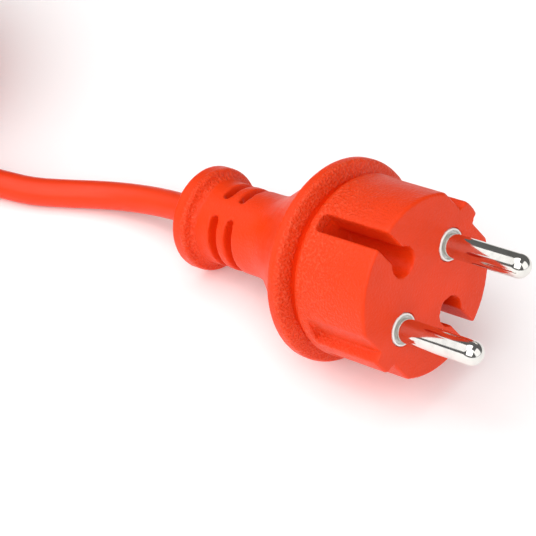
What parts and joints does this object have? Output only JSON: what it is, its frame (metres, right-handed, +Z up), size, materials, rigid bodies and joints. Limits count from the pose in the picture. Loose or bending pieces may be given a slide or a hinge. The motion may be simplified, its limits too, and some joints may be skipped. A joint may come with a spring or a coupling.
{
  "type": "extension cord",
  "caption": "Flexible mains extension cord with a moulded round two-pin plug, a strain-relieved sheathed cord tied in a coil, and a splash-proof coupler with a sprung lid.",
  "frame": {"origin": "on the floor, below the middle of the plug without its cord", "axes": "+X along the plug, towards the tips of its pins; +Z up; the plug lies on its flange and its collar, with its nose tilted up by 15.15 degrees"},
  "size_m": [0.2498, 0.0905, 0.0934],
  "materials": {
    "orange_pvc": "soft moulded PVC with a fine spark-eroded grain",
    "cord_pvc": "smooth satin extruded sheath",
    "white_plastic": "glossy moulded white",
    "grey_plastic": "satin moulded grey",
    "black_plastic": "fine matt grain",
    "black_rubber": "matt",
    "black_strap": "ribbed matt rubber",
    "nickel": "polished nickel plate",
    "brass": "bare stamped sheet",
    "copper": "bare stranded copper",
    "brown_pvc": "smooth insulation",
    "blue_pvc": "smooth insulation",
    "steel": "drawn wire",
    "spring_steel": "drawn wire"
  },
  "bodies": {
    "root": {"plug_body": "orange_pvc", "pin_bridge": "white_plastic", "line_pin": "nickel", "neutral_pin": "nickel", "plug_brown_core": "brown_pvc", "plug_blue_core": "blue_pvc", "plug_brown_strands": "copper", "plug_blue_strands": "copper", "cord_run": "cord_pvc", "cord_coil": "cord_pvc", "cord_end_run": "cord_pvc", "coil_tie": "black_strap", "coupler_body": "orange_pvc", "socket_insert": "grey_plastic", "contact_retainer": "white_plastic", "brown_contact": "brass", "blue_contact": "brass", "coupler_brown_core": "brown_pvc", "coupler_blue_core": "blue_pvc", "coupler_brown_strands": "copper", "coupler_blue_strands": "copper", "hinge_pin": "steel", "lid_spring": "spring_steel"},
    "lid": {"lid": "black_plastic", "lid_seal": "black_rubber"}
  },
  "joints": [
    {"name": "lid_hinge", "type": "hinge", "parent": "root", "child": "lid", "pos_m": [-0.19536, -0.046, 0.091], "axis": [0, 1, 0], "range_deg": [0, 110], "stiffness_Nm_per_rad": 0.01, "springref_deg": -40.11}
  ]
}
